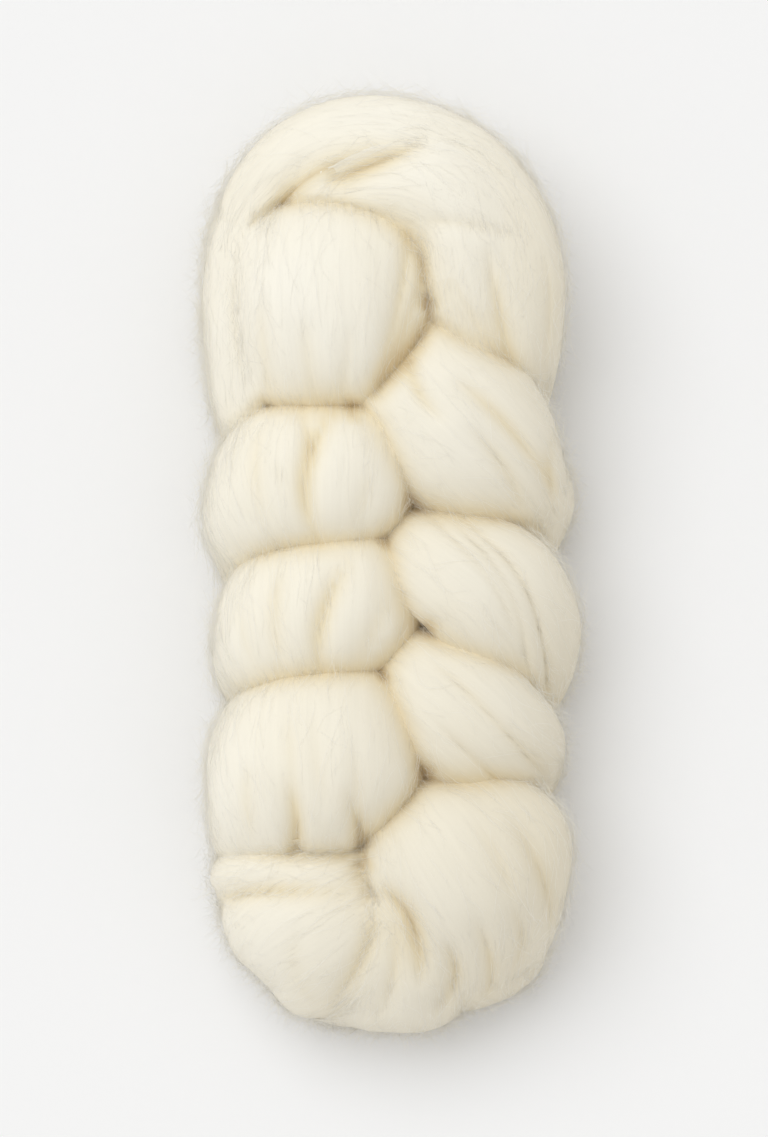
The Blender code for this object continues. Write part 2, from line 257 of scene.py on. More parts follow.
CREAM = (0.92, 0.866, 0.728, 1.0)
PALE = (0.96, 0.928, 0.832, 1.0)
SHADE_PAINT = (0.94, 0.88, 0.745, 1.0)        # painted shade: what cream is multiplied by where it is partly in shade
DEEP_SHADE_PAINT = (0.78, 0.66, 0.45, 1.0)           # and where it is fully in painted shade
SHADED_AT = 0.45                         # where on the painted shade's scale that colour is reached
FAR_SIDE_SHADE_PAINT = (0.87, 0.845, 0.79, 1.0)       # painted shade: what it is multiplied by on the side away from the key light
PAINTED_SHADE_TOWARD = (1.0, -0.3, 0.0)         # the direction of that side
PAINTED_SHADE_FROM, PAINTED_SHADE_TO = -0.03, 0.09     # where it starts and ends in that direction, m
WOOL_SURFACE = {"Roughness": 0.9, "Specular IOR Level": 0.15, "Sheen Weight": 0.5,
                "Sheen Roughness": 0.6, "Sheen Tint": (1.0, 0.98, 0.93, 1.0)}
FIBRE_SURFACE = {"Base Color": (0.975, 0.95, 0.88, 1.0), "Roughness": 0.6,
                 "Specular IOR Level": 0.2, "Sheen Weight": 0.3}
FLOOR_SURFACE = {"Base Color": (0.93, 0.93, 0.935, 1.0), "Roughness": 0.9,
                 "Specular IOR Level": 0.0}

# The combed grain: how often it changes over a centimetre across and along the strand.
Grain = namedtuple("Grain", "across along detail")
PATCHES = Grain(0.35, 0.2, 1)            # of cream and pale wool
STREAKS = Grain(6.0, 0.45, 4)            # a little darker than the rest
RIDGES = Grain(12.0, 0.6, 4)             # that stand up from it
GRAIN_ROUGHNESS, GRAIN_DISTORTION = 0.55, 0.4
STREAK_RANGE = (0.3, 0.7)                # the part of the grain that makes a streak
STREAK_SHADES = (0.97, 1.0)              # what a streak multiplies the wool by
RIDGE_STRENGTH, RIDGE_HEIGHT = 0.18, 0.0006       # the height in m

FLOOR_HALF, FLOOR_Z = 3.0, -0.0004       # m
KEY_FROM = (-0.44, 0.50, 1.1)            # the direction that the key light comes from
KEY_POWER, KEY_SPREAD = 1.14, 50         # W per square metre, and its width in degrees
KEY_COLOUR = (0.94, 0.965, 1.0)
SKY, SKY_COLOUR = 0.69, (1.0, 0.988, 0.958, 1.0)
SENSOR = 24.0                 # camera sensor's height, mm
CAMERA_HEIGHT = 2.2           # above the middle of the braid, m
CAMERA_REACH = 10.0           # how far the camera sees, m
MID_HEIGHT = 38               # of the braid's middle, table mm
VIEW_LENGTH = 413.4           # what the view takes in along Y, table mm
VIEW_CENTRE = (-0.7, -0.4)    # of the view, table mm

# The bundles.  One section of a bundle is the middle of it (x, y, z), the half widths to its left
# and right as seen when looking along it, its thickness, and the direction of its right edge.
# Its curl is how far each edge turns down, its lean how far the right edge is drawn along it, its
# squareness the power of its oval, 2 for a plain one, and its tilt how far its right edge rises.
Bundle = namedtuple("Bundle", "curl_left curl_right lean_start lean_end squareness tilt sections")

START_LOOP = {
    "outer_turn": Bundle(60, 40, 0, 0, 2.2, 0, [
        (-43, 104, 20, 8, 8, 22, -30),
        (-45, 116, 30, 10, 10, 34, -38),
        (-42, 127, 35, 12, 12, 43, -50),
        (-32, 137, 38, 14, 14, 50, -68),
        (-17, 144, 41, 15, 15, 55, -86),
        (4, 143, 43, 17, 19, 57, -102),
        (20, 134, 44, 20, 22, 57, -128),
        (31, 118, 46, 22, 24, 56, -158),
        (36, 100, 46, 22, 24, 54, -174),
        (40, 85, 42, 18, 19, 46, -172),
        (43, 74, 33, 14, 14, 38, -168),
        (42, 60, 20, 12, 12, 30, -165),
        (32, 48, 12, 10, 10, 20, -165)]),
    "inner_turn": Bundle(40, 40, 0, 0, 2.2, 0, [
        (-36, 124, 32, 5, 6, 20, -75),
        (-21, 132, 45, 8, 7, 28, -82),
        (-5, 137, 53, 13, 11, 34, -95),
        (10, 136, 56, 17, 15, 38, -115),
        (23, 127, 56, 19, 14, 40, -145),
        (29, 109, 55, 19, 13, 39, -170),
        (31, 93, 50, 17, 12, 36, -172),
        (35, 79, 38, 13, 13, 30, -165),
        (36, 68, 24, 10, 10, 22, -165)]),
    "lower_turn": Bundle(30, 30, 0, 0, 2.3, 0, [
        (-38, 92, 20, 12, 12, 26, 0),
        (-43, 108, 20, 15, 15, 34, -10),
        (-40, 124, 20, 16, 16, 38, -35),
        (-24, 134, 20, 17, 17, 40, -68),
        (0, 138, 20, 18, 18, 40, -92),
        (22, 128, 20, 18, 18, 40, -128),
        (35, 108, 20, 18, 18, 40, -162),
        (39, 86, 20, 16, 16, 38, -176),
        (38, 68, 20, 13, 13, 30, -180)]),
    "left_edge": Bundle(40, 40, 0, 0, 2.2, -64, [
        (-38, 140, 28, 13, 14, 20, 180),
        (-47, 127, 34, 19, 18, 28, 180),
        (-50, 105, 39, 22, 22, 31, 180),
        (-50, 82, 37, 22, 22, 31, 180),
        (-49, 60, 31, 20, 19, 29, 180),
        (-44, 40, 22, 15, 14, 24, 180),
        (-32, 26, 13, 10, 10, 18, 180)]),
}

LEFT_LEGS = {
    "left_leg_1": Bundle(55, 55, 0, 0, 2.8, 0, [
        (-20, 130, 24, 33, 28, 24, 188),
        (-20, 125, 43, 37, 31, 32, 188),
        (-19, 114, 57, 38, 31, 38, 186),
        (-20, 99, 62, 38, 31, 40, 183),
        (-19, 82, 58, 34, 30, 40, 183),
        (-17, 69, 46, 30, 28, 38, 188),
        (-14, 59, 31, 24, 23, 32, 192),
        (-13, 50, 17, 16, 16, 22, 192)]),
    "left_leg_1_fold": Bundle(40, 40, 0, 0, 2.2, 0, [
        (4, 128, 40, 5, 5, 16, 180),
        (9, 117, 50, 6, 6, 22, 180),
        (11, 100, 52, 7, 7, 26, 182),
        (7, 84, 48, 7, 7, 26, 190),
        (1, 72, 38, 6, 6, 24, 195),
        (-4, 66, 24, 5, 5, 20, 200)]),
    "left_leg_2": Bundle(120, 80, 12, 34, 2.2, 0, [
        (-18, 57, 24, 30, 36, 24, 182),
        (-20, 50, 42, 40, 44, 32, 182),
        (-22, 41, 55, 48, 50, 36, 182),
        (-23, 31, 57, 48, 51, 37, 182),
        (-23, 20, 47, 46, 49, 37, 182),
        (-22, 11, 31, 40, 43, 34, 182),
        (-15, -1, 20, 26, 32, 26, 182),
        (-4, -10, 18, 12, 20, 18, 182)]),
    "left_leg_3": Bundle(120, 80, 12, 34, 2.2, 0, [
        (-17, 9, 24, 30, 36, 24, 184),
        (-19, 3, 43, 42, 44, 32, 184),
        (-20, -7, 55, 51, 50, 36, 184),
        (-21, -18, 56, 53, 51, 37, 184),
        (-21, -28, 46, 50, 49, 37, 184),
        (-20, -37, 31, 43, 43, 34, 184),
        (-14, -49, 20, 28, 32, 26, 184),
        (-4, -58, 18, 12, 20, 18, 184)]),
    "left_leg_4": Bundle(120, 80, 10, 28, 2.2, 0, [
        (-17, -38, 24, 28, 36, 24, 182),
        (-19, -46, 44, 38, 44, 32, 182),
        (-21, -58, 58, 48, 50, 38, 182),
        (-21, -72, 61, 49, 50, 40, 180),
        (-23, -85, 52, 44, 48, 40, 178),
        (-24, -94, 36, 36, 43, 36, 178),
        (-16, -103, 21, 26, 34, 26, 178),
        (-6, -110, 18, 12, 20, 18, 178)]),
}

RIGHT_LEGS = {
    "right_leg_1": Bundle(45, 45, 0, 0, 2.3, 0, [
        (-1, 80, 36, 26, 22, 24, 238),
        (6, 75, 50, 30, 28, 30, 236),
        (17, 64, 55, 29, 33, 34, 233),
        (29, 52, 56, 28, 35, 36, 229),
        (40, 40, 49, 24, 34, 36, 232),
        (47, 28, 36, 20, 31, 34, 234),
        (50, 14, 22, 22, 26, 28, 238),
        (42, 4, 12, 15, 18, 20, 246)]),
    "right_leg_2": Bundle(45, 45, 0, 0, 2.3, 0, [
        (0, 12, 26, 16, 14, 24, 236),
        (7, 7, 42, 23, 15, 28, 234),
        (19, -2, 54, 26, 14, 33, 230),
        (32, -13, 55, 31, 15, 35, 223),
        (41, -25, 47, 30, 19, 35, 219),
        (47, -38, 33, 26, 22, 33, 224),
        (46, -52, 20, 22, 21, 28, 234),
        (36, -62, 12, 15, 15, 20, 240)]),
    "right_leg_3": Bundle(45, 45, 0, 0, 2.3, 0, [
        (4, -30, 28, 8, 13, 24, 232),
        (9, -35, 44, 13, 19, 28, 232),
        (21, -45, 54, 22, 26, 33, 230),
        (33, -55, 54, 22, 29, 34, 226),
        (42, -64, 46, 22, 28, 33, 228),
        (46, -72, 33, 22, 26, 31, 236),
        (44, -84, 20, 19, 21, 27, 242),
        (34, -94, 12, 14, 15, 20, 242)]),
}

END_LOOP = {
    "right_turn": Bundle(50, 50, 0, 0, 2.3, 0, [
        (3, -86, 26, 14, 12, 24, 222),
        (10, -92, 44, 28, 21, 31, 215),
        (19, -101, 56, 41, 28, 38, 208),
        (27, -113, 56, 44, 31, 40, 211),
        (32, -125, 46, 34, 30, 40, 205),
        (33, -138, 32, 27, 28, 38, 199),
        (33, -146, 18, 22, 26, 30, 196),
        (27, -141, 11, 14, 16, 18, 196)]),
    "middle_turn": Bundle(45, 45, 0, 0, 2.3, 0, [
        (-2, -106, 28, 8, 10, 22, 186),
        (-2, -116, 42, 14, 15, 28, 184),
        (1, -130, 46, 21, 22, 34, 182),
        (4, -144, 38, 27, 31, 36, 182),
        (3, -153, 26, 31, 35, 34, 182),
        (3, -155, 15, 28, 31, 26, 182),
        (3, -146, 8, 18, 20, 16, 182)]),
    "left_turn": Bundle(50, 50, 0, 0, 2.3, 0, [
        (0, -110, 26, 10, 12, 24, 110),
        (-10, -117, 42, 20, 22, 31, 116),
        (-21, -124, 48, 30, 31, 37, 121),
        (-31, -131, 43, 33, 32, 38, 124),
        (-37, -136, 29, 32, 30, 35, 126),
        (-37, -138, 16, 26, 24, 28, 126),
        (-28, -130, 8, 16, 16, 18, 126)]),
    "upper_turn": Bundle(40, 40, 0, 0, 2.2, 0, [
        (2, -108, 34, 8, 8, 22, 92),
        (-14, -111, 44, 10, 10, 27, 92),
        (-34, -113, 44, 13, 13, 30, 92),
        (-47, -114, 35, 14, 14, 30, 92),
        (-49, -116, 20, 13, 13, 26, 92),
        (-38, -114, 10, 10, 10, 16, 92)]),
}

CORE = {
    "core": Bundle(20, 20, 0, 0, 2.3, 0, [
        (0, 140, 26, 22, 22, 34, 180),
        (0, 120, 26, 34, 34, 44, 180),
        (0, 60, 26, 38, 38, 46, 180),
        (0, -60, 26, 38, 38, 46, 180),
        (0, -120, 26, 34, 34, 44, 180),
        (0, -140, 24, 26, 26, 38, 180)]),
}

# The head of each stitch passes behind the next stitch's legs, from the left side to the right.
Head = namedtuple("Head", "left_y right_y half_wide thick")
HEADS = [
    Head(112, 100, 26, 30),
    Head(60, 42, 26, 30),
    Head(6, -22, 26, 30),
    Head(-44, -62, 26, 30),
    Head(-98, -106, 28, 30),
]
HEAD_SAG = 16                 # how much nearer the end loop a head's middle lies than its ends


def head_bundle(head):
    """The bundle of one stitch's head: a shallow U under the braid, its ends turned up at the sides."""
    middle = (head.left_y + head.right_y) / 2 - HEAD_SAG
    wide, thick = head.half_wide, head.thick
    return Bundle(20, 20, 0, 0, 2.3, 0, [
        (-34, head.left_y + 6, 36, wide - 10, wide - 10, thick - 8, -90),
        (-42, head.left_y, 27, wide - 5, wide - 5, thick - 4, -88),
        (-34, head.left_y - 8, 17, wide, wide, thick, -86),
        (-10, middle, 13, wide, wide, thick, -90),
        (12, middle, 13, wide, wide, thick, -90),
        (36, head.right_y - 12, 16, wide, wide, thick, -96),
        (47, head.right_y - 6, 24, wide - 3, wide - 3, thick - 4, -94),
        (41, head.right_y + 2, 34, wide - 8, wide - 8, thick - 8, -90)])


# ---- numpy shapes ----

def soft_step(value):
    """A value held between 0 and 1, rising with no corner at either end."""
    value = np.clip(value, 0, 1)
    return value**2 * (3 - 2 * value)


def smooth_rows(rows, count):
    """Rows at even distances along a path: a cubic curve through the given rows in each column."""
    table = np.array(rows, float)
    steps = np.linalg.norm(np.diff(table[:, :3], axis=0), axis=1)
    knots = np.concatenate([[0.0], np.cumsum(steps)])
    slopes = np.gradient(table, knots, axis=0)
    along = np.linspace(0.0, knots[-1], count)
    k = np.clip(np.searchsorted(knots, along, side="right") - 1, 0, len(knots) - 2)
    span = (knots[k + 1] - knots[k])[:, None]
    s = (along - knots[k])[:, None] / span
    return ((2 * s**3 - 3 * s**2 + 1) * table[k] + (s**3 - 2 * s**2 + s) * span * slopes[k]
            + (3 * s**2 - 2 * s**3) * table[k + 1] + (s**3 - s**2) * span * slopes[k + 1]), along


def oval(sides, squareness):
    """Points round a superellipse, across and up from -1 to 1, and the share of the way round.

    The points start under the bundle and stand closer together on its upper face.
    """
    turn = np.linspace(-0.5 * np.pi, 1.5 * np.pi, OVAL_STEPS)
    power = 2 / squareness
    across = np.sign(np.cos(turn)) * np.abs(np.cos(turn))**power
    up = np.sign(np.sin(turn)) * np.abs(np.sin(turn))**power
    step = np.hypot(np.diff(across), np.diff(up) / OVAL_FLATNESS)
    around = np.concatenate([[0.0], np.cumsum(step)])
    crowding = np.where(up[1:] > UPPER_FACE, 1.0, UNDERSIDE_SHARE)
    place = np.concatenate([[0.0], np.cumsum(step * crowding)])
    wanted = np.linspace(0.0, place[-1], sides + 1)[:-1]
    return (np.interp(wanted, place, across), np.interp(wanted, place, up),
            np.interp(wanted, place, around) / around[-1])


def bundle_surface(bundle, rings, sides):
    """One bundle's plain surface, rings by sides, and its places along, across and around.

    A middle surface follows the path and curls down in an arc at each edge: its point at share p
    of the half width is sin and 1 - cos of p times the curl, times the arc's radius.  The oval's
    height stands off it along its normal.
    """
    rows, along = smooth_rows(bundle.sections, rings)
    middle = rows[:, :3]
    left, right, thick = rows[:, 3:4], rows[:, 4:5], rows[:, 5:6]
    turn, tilt = np.radians(rows[:, 6]), np.radians(bundle.tilt)
    to_right = np.stack([np.cos(turn) * np.cos(tilt), np.sin(turn) * np.cos(tilt),
                         np.full(rings, np.sin(tilt))], axis=1)
    ahead = np.stack([-np.sin(turn), np.cos(turn), np.zeros(rings)], axis=1)
    outward = np.cross(to_right, ahead)
    lean = np.linspace(bundle.lean_start, bundle.lean_end, rings)[:, None]

    def middle_surface(place):
        """The middle surface at a share of the half width, from -1 at the left to 1 at the right."""
        on_right = place > 0
        curl = np.radians(np.where(on_right, bundle.curl_right, bundle.curl_left))
        arc = np.where(on_right, right, left) / curl
        angle = curl * np.abs(place)
        out = np.sign(place) * arc * np.sin(angle)
        down = arc * (1 - np.cos(angle))
        drawn = np.where(on_right, 1 - np.cos(angle), 0) * lean
        return (middle[:, None] + out[..., None] * to_right[:, None]
                - down[..., None] * outward[:, None] + drawn[..., None] * ahead[:, None])

    across, up, around = oval(sides, bundle.squareness)
    place = across[None]
    surface = middle_surface(place)
    sideways = (middle_surface(np.minimum(place + FACE_STEP, 1))
                - middle_surface(np.maximum(place - FACE_STEP, -1)))
    forward = np.gradient(surface, along, axis=0)
    normal = np.cross(sideways, forward)
    normal /= np.linalg.norm(normal, axis=2, keepdims=True)
    points = surface + (up[None] * thick / 2)[..., None] * normal
    half = np.where(place > 0, right, left)
    return points, along, place, np.broadcast_to(up[None], half.shape), half, around


def face_normals(points):
    """Outward normals of a closed grid: the slope along it crossed with the slope round it."""
    forward = np.gradient(points, axis=0)
    sideways = np.roll(points, -1, axis=1) - np.roll(points, 1, axis=1)
    normal = np.cross(forward, sideways)
    return normal / np.maximum(np.linalg.norm(normal, axis=2, keepdims=True), TINY)


def streaks(around, along, strands, seed):
    """Long soft streaks between -1 and 1, over a grid of places round the bundle.

    Each strand has its lane round the bundle, with a random height at every length of its own,
    starting at its own place.  Soft steps join the heights along a lane and from lane to lane.
    """
    rng = np.random.default_rng(seed + strands.seed)
    lanes = around * strands.count
    lane = np.floor(lanes).astype(int)
    side_step = soft_step(lanes - lane)
    rows = int(along.max() / strands.length) + SPARE_HEIGHTS
    heights = rng.uniform(-1, 1, (rows, strands.count))
    shift = rng.uniform(0, 1, strands.count)

    def lane_height(number):
        """The height along one lane: from one random height to the next by a soft step."""
        number = number % strands.count
        place = along[:, None] / strands.length + shift[number]
        row = np.floor(place).astype(int)
        step = soft_step(place - row)
        return heights[row, number] * (1 - step) + heights[row + 1, number] * step

    return lane_height(lane) * (1 - side_step) + lane_height(lane + 1) * side_step


def strand_relief(around, along, seed):
    """Height of the loose strands, mm: broad soft swells, creased strands and fine ones.

    A creased strand is the streak's size without its sign, so that its valleys are sharp lines.
    The strands wander: each place round the bundle is first moved aside by a slow streak of its
    own.  Another slow streak, from 0 to 1, says where the finer strands show.
    """
    wander = np.outer(np.ones(len(along)), around)
    wander = wander + WANDER.height * streaks(wander, along, WANDER, seed)
    shown = 1 - PATCH.height + PATCH.height * streaks(wander, along, PATCH, seed)
    relief = BROAD.height * streaks(wander, along, BROAD, seed)
    creased = np.abs(streaks(wander, along, CREASED, seed))
    relief += CREASED.height * shown * (np.minimum(creased * CREASE_STEEPNESS, 1) - 1)
    relief += LOOSE.height * streaks(wander, along, LOOSE, seed)
    relief += MEDIUM.height * shown * streaks(wander, along, MEDIUM, seed)
    return relief + FINE.height * shown * streaks(wander, along, FINE, seed)


def rounded_valley(distance, reach):
    """A valley's share of its depth: the gap under a round edge, 1 at the line and 0 at its reach."""
    near = 1 - np.clip(distance / reach, 0, 1)
    return 1 - np.sqrt(1 - near**2)


def fold_relief(folds, share, place, half):
    """What the folds add to the wool's height, mm, which is never more than 0.

    A fold is a straight line in the bundle's own places along and across.  The wool rounds down
    to it on both sides, and the fold fades out at its two ends.
    """
    relief = np.zeros(half.shape)
    for fold in folds:
        t = (share - fold.start) / (fold.end - fold.start)
        fade = soft_step(np.minimum(t, 1 - t) * FOLD_FADE)
        line = fold.across_start + (fold.across_end - fold.across_start) * np.clip(t, 0, 1)
        distance = np.abs(place - line[:, None]) * half
        relief -= fade[:, None] * fold.depth * rounded_valley(distance, fold.reach)
    return relief


# ---- meshes ----

def new_piece(name, points, quads, triangles, material, smooth=True):
    """A mesh object at the origin that rides on the braid's body."""
    mesh = bpy.data.meshes.new(name)
    faces = np.concatenate([quads.ravel(), triangles.ravel()])
    sizes = np.concatenate([np.full(len(quads), 4), np.full(len(triangles), 3)])
    starts = np.cumsum(sizes) - sizes
    mesh.vertices.add(len(points))
    mesh.vertices.foreach_set("co", points.astype(np.float32).ravel())
    mesh.loops.add(len(faces))
    mesh.loops.foreach_set("vertex_index", faces.astype(np.int32))
    mesh.polygons.add(len(sizes))
    mesh.polygons.foreach_set("loop_start", starts.astype(np.int32))
    mesh.update(calc_edges=True)
    mesh.validate()
    if smooth:
        mesh.shade_smooth()
    mesh.materials.append(material)
    piece = bpy.data.objects.new(name, mesh)
    bpy.context.scene.collection.objects.link(piece)
    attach(piece, "root")
    return piece


def bundle_piece(wool, material):
    """A bundle's closed surface: quads between its rings and a fan at each end.

    Its first UV map fills the unit square, and its second, "strand", is in centimetres around
    and along the bundle, so that the combed grain follows the wool.
    """
    points = wool.points
    rings, sides = points.shape[:2]
    side = np.arange(sides)
    after = (side + 1) % sides
    ring = np.arange(rings - 1)[:, None] * sides
    quads = np.stack([ring + side, ring + sides + side, ring + sides + after, ring + after], axis=-1)
    last_ring, low_tip = (rings - 1) * sides, rings * sides
    low_fan = np.stack([np.full(sides, low_tip), side, after], axis=-1)
    high_fan = np.stack([np.full(sides, low_tip + 1), last_ring + after, last_ring + side], axis=-1)
    tips = np.stack([points[0].mean(axis=0), points[-1].mean(axis=0)])
    vertices = np.concatenate([points.reshape(-1, 3), tips]) * MM
    piece = new_piece(wool.name, vertices, quads.reshape(-1, 4), np.concatenate([low_fan, high_fan]),
                      material)

    def add_uv_map(name, turn, height, low_end, high_end):
        """A UV map: each point's place round and along the bundle, each fan's tip at its end."""
        left, right = turn[:-1], turn[1:]
        quad = np.empty((rings - 1, sides, 4, 2))
        quad[..., :2, 0], quad[..., 2:, 0] = left[:, None], right[:, None]
        quad[..., 0, 1] = quad[..., 3, 1] = height[:-1, None]
        quad[..., 1, 1] = quad[..., 2, 1] = height[1:, None]
        fans = np.empty((2, sides, 3, 2))
        fans[..., 0, 0] = (left + right) / 2
        fans[0, :, 1, 0] = fans[1, :, 2, 0] = left
        fans[0, :, 2, 0] = fans[1, :, 1, 0] = right
        fans[0, :, 0, 1], fans[1, :, 0, 1] = low_end, high_end
        fans[0, :, 1:, 1], fans[1, :, 1:, 1] = height[0], height[-1]
        places = np.concatenate([quad.reshape(-1, 2), fans.reshape(-1, 2)])
        piece.data.uv_layers.new(name=name).data.foreach_set("uv", places.astype(np.float32).ravel())

    turn = np.append(wool.around, 1.0)
    share = UV_MARGIN + (1 - 2 * UV_MARGIN) * wool.along / wool.along[-1]
    add_uv_map("OFBake", turn, share, 0.0, 1.0)
    girth = np.linalg.norm(np.diff(points, axis=1, append=points[:, :1]), axis=2).sum(axis=1).mean()
    along_cm = wool.along / CM
    add_uv_map("strand", turn * (girth / CM), along_cm, -FAN_GRAIN, along_cm[-1] + FAN_GRAIN)
    # the painted shade, kept on each point for the finish to read
    depth = piece.data.attributes.new("hollow", "FLOAT", "POINT")
    depth.data.foreach_set("value", np.append(wool.hollow.ravel(), [1, 1]).astype(np.float32))
    return piece


def sample(field, ring, side):
    """The value of a rings by sides array at fractional places, joined straight between points."""
    rings, sides = field.shape[:2]
    ring = np.clip(ring, 0, rings - LAST_ROW)
    low, left = np.floor(ring).astype(int), np.floor(side).astype(int)
    t, s = (ring - low)[..., None], (side - left)[..., None]
    left, right = left % sides, (left + 1) % sides
    return ((1 - t) * ((1 - s) * field[low, left] + s * field[low, right])
            + t * ((1 - s) * field[low + 1, left] + s * field[low + 1, right]))


def fibre_piece(name, lines, normals, radius, material):
    """Fibres as one mesh: each a three-sided spindle along its line, closed in a point at each end.

    A fibre's edges stand at their turns round its line, in the plane of the wool's normal and the
    direction across the fibre.
    """
    count, knots = lines.shape[:2]
    forward = np.gradient(lines, axis=1)
    aside = np.cross(forward, normals)
    aside /= np.maximum(np.linalg.norm(aside, axis=2, keepdims=True), TINY)
    above = np.cross(aside, forward)
    above /= np.maximum(np.linalg.norm(above, axis=2, keepdims=True), TINY)
    turn, edges = np.radians(FIBRE_EDGES)[:, None], len(FIBRE_EDGES)
    outward = np.cos(turn) * aside[:, 1:-1, None] + np.sin(turn) * above[:, 1:-1, None]
    rings = lines[:, 1:-1, None] + radius * outward
    points = np.concatenate([rings.reshape(-1, 3), lines[:, 0], lines[:, -1]])

    fibre = np.arange(count)[:, None, None]
    first = fibre * (knots - 2) * edges
    start = first + np.arange(knots - 3)[:, None] * edges
    side = np.arange(edges)
    after = (side + 1) % edges
    quads = np.stack([start + side, start + edges + side, start + edges + after, start + after], axis=-1)
    last = first + (knots - 3) * edges
    tip = np.broadcast_to(count * (knots - 2) * edges + fibre, last.shape[:2] + (edges,))
    ends = np.concatenate([np.stack([tip, first + side, first + after], axis=-1),
                           np.stack([tip + count, last + after, last + side], axis=-1)])
    return new_piece(name, points * MM, quads.reshape(-1, 4), ends.reshape(-1, 3), material, False)


# ---- finishes ----

def plain_finish(name, surface):
    """A material whose shader's own sockets have the given values."""
    material = bpy.data.materials.new(name)
    material.use_nodes = True
    shader = material.node_tree.nodes["Principled BSDF"]
    for socket, value in surface.items():
        shader.inputs[socket].default_value = value
    return material


def wool_finish():
    """Combed wool: patches of cream and pale, with painted shade in its hollows and creases and
    painted shade darker towards the side away from the key light.

    The patches' colour is multiplied by the colour of the painted shade, by that of the painted
    shade on the far side, and by a fine streak along the strand.  Fine ridges along the strand bend its
    light.
    """
    material = plain_finish("combed_wool", WOOL_SURFACE)
    nodes, links = material.node_tree.nodes, material.node_tree.links
    uv = nodes.new("ShaderNodeUVMap")
    uv.uv_map = "strand"

    def grain(kind):
        """Streaks from 0 to 1: noise squeezed across the strand."""
        squeeze = nodes.new("ShaderNodeMapping")
        squeeze.inputs["Scale"].default_value = (kind.across, kind.along, 1)
        noise = nodes.new("ShaderNodeTexNoise")
        noise.noise_dimensions = "2D"
        noise.inputs["Scale"].default_value = 1.0
        noise.inputs["Detail"].default_value = kind.detail
        noise.inputs["Roughness"].default_value = GRAIN_ROUGHNESS
        noise.inputs["Distortion"].default_value = GRAIN_DISTORTION
        links.new(uv.outputs["UV"], squeeze.inputs["Vector"])
        links.new(squeeze.outputs["Vector"], noise.inputs["Vector"])
        return noise.outputs["Fac"]

    def ranged(value, start, end, shades=(0.0, 1.0)):
        """A value between start and end turned into one between the two shades."""
        node = nodes.new("ShaderNodeMapRange")
        node.inputs["From Min"].default_value, node.inputs["From Max"].default_value = start, end
        node.inputs["To Min"].default_value, node.inputs["To Max"].default_value = shades
        links.new(value, node.inputs["Value"])
        return node.outputs["Result"]

    def mixed(first, second, factor, blend="MIX"):
        """The first colour mixed with the second; each is a value or another node's output."""
        node = nodes.new("ShaderNodeMix")
        node.data_type, node.blend_type = "RGBA", blend
        for socket, value in (("A", first), ("B", second), ("Factor", factor)):
            if isinstance(value, bpy.types.NodeSocket):
                links.new(value, node.inputs[socket])
            else:
                node.inputs[socket].default_value = value
        return node.outputs["Result"]

    # painted shade: the wool turns warmer and darker where the point attribute says it is in shade
    hollow = nodes.new("ShaderNodeAttribute")
    hollow.attribute_name = "hollow"
    tint = nodes.new("ShaderNodeValToRGB")
    stops = tint.color_ramp.elements
    stops[0].color = (1, 1, 1, 1)
    stops[1].color = DEEP_SHADE_PAINT
    stops.new(SHADED_AT).color = SHADE_PAINT
    links.new(hollow.outputs["Fac"], tint.inputs["Fac"])
    # painted shade, darker towards the side away from the key light
    place = nodes.new("ShaderNodeTexCoord")
    toward = nodes.new("ShaderNodeVectorMath")
    toward.operation = "DOT_PRODUCT"
    toward.inputs[1].default_value = PAINTED_SHADE_TOWARD
    links.new(place.outputs["Object"], toward.inputs[0])

    colour = mixed(CREAM, PALE, grain(PATCHES))
    # multiplied by the painted shade
    colour = mixed(colour, tint.outputs["Color"], 1.0, "MULTIPLY")
    # multiplied by the painted shade on the side away from the key light
    colour = mixed(colour, FAR_SIDE_SHADE_PAINT, ranged(toward.outputs["Value"], PAINTED_SHADE_FROM, PAINTED_SHADE_TO), "MULTIPLY")
    colour = mixed(colour, ranged(grain(STREAKS), *STREAK_RANGE, STREAK_SHADES), 1.0, "MULTIPLY")
    bump = nodes.new("ShaderNodeBump")
    bump.inputs["Strength"].default_value = RIDGE_STRENGTH
    bump.inputs["Distance"].default_value = RIDGE_HEIGHT
    links.new(grain(RIDGES), bump.inputs["Height"])
    shader = nodes["Principled BSDF"]
    links.new(colour, shader.inputs["Base Color"])
    links.new(bump.outputs["Normal"], shader.inputs["Normal"])
    return material


# ---- the braid from above ----

class Wool:
    """One bundle's grid of points, with what its finish and the fibres on it need."""

    def __init__(self, name, bundle, shows, seed):
        """The bundle's plain surface, moved along its normals by its strands and its folds."""
        length = smooth_rows(bundle.sections, 2)[1][-1]
        rings = int(length * (RINGS_PER_MM if shows else HIDDEN_RINGS_PER_MM))
        sides = SIDES if shows else HIDDEN_SIDES
        points, self.along, place, up, half, self.around = bundle_surface(bundle, rings, sides)
        folds = fold_relief(FOLDS.get(name, ()), self.along / self.along[-1], place, half) * (up > 0)
        relief = strand_relief(self.around, self.along, seed) + folds
        self.points = points + relief[..., None] * face_normals(points)
        # how much painted shade the folds put on each point
        self.fold = np.clip(-folds / DEEP_FOLD, 0, 1)**FOLD_SHADE_POWER
        # the bundles under the braid take less of the painted shade
        self.name, self.painted_shade_share = name, 1.0 if shows else HIDDEN_SHADE_SHARE

    def sink(self, depth):
        """Lowers the points by the given depths, but not under the ground.

        It then works out the normals, and the distance from each point to the next one along
        and round the bundle.
        """
        self.points[..., 2] = np.maximum(self.points[..., 2] - depth, 0)
        self.normals = face_normals(self.points)
        self.stretch = np.linalg.norm(np.gradient(self.points, axis=0), axis=2)
        self.width = np.linalg.norm(np.roll(self.points, -1, axis=1) - self.points, axis=2)


